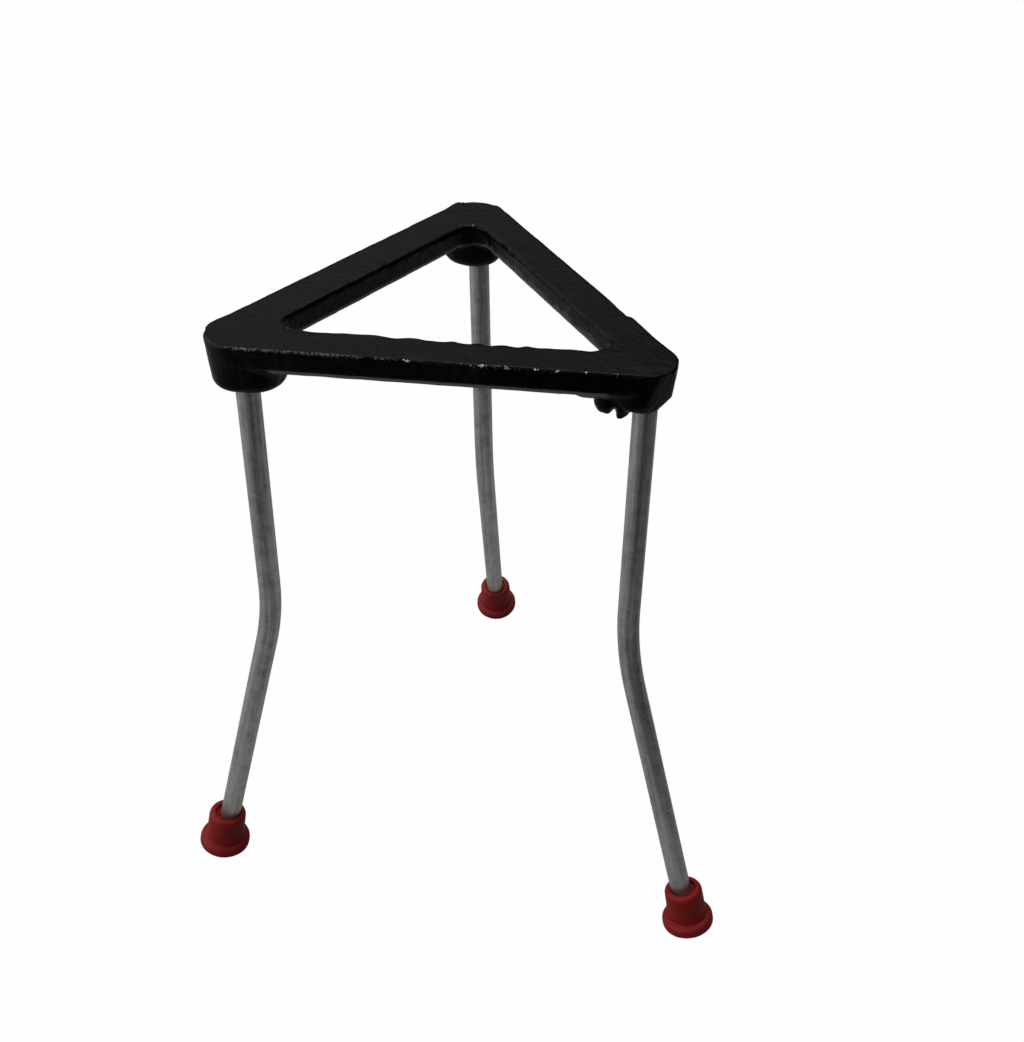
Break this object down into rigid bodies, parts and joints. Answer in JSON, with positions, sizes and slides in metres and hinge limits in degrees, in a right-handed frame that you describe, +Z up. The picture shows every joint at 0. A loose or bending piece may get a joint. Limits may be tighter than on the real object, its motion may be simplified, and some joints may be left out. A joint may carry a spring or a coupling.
{
  "type": "laboratory tripod stand",
  "caption": "Triangular cast iron frame with an open centre on bent steel legs with rubber feet, to hold a vessel or a gauze over a burner.",
  "frame": {"origin": "on the floor, in the middle of the box that the feet make", "axes": "+Z up; +X to the right along the front bar of the top; +Y towards the rear corner, so the front bar faces -Y"},
  "size_m": [0.2154, 0.2052, 0.237],
  "materials": {
    "black_paint_on_iron": "brushed-on black paint, semi-gloss, chipped at the edges",
    "zinc_plated_steel": "dull grey zinc plating, streaked along the rod",
    "red_rubber": "matt dark red moulded rubber"
  },
  "bodies": {
    "root": {"top_casting": "black_paint_on_iron", "leg_left": "zinc_plated_steel", "leg_right": "zinc_plated_steel", "leg_rear": "zinc_plated_steel", "foot_left": "red_rubber", "foot_right": "red_rubber", "foot_rear": "red_rubber"}
  },
  "joints": []
}
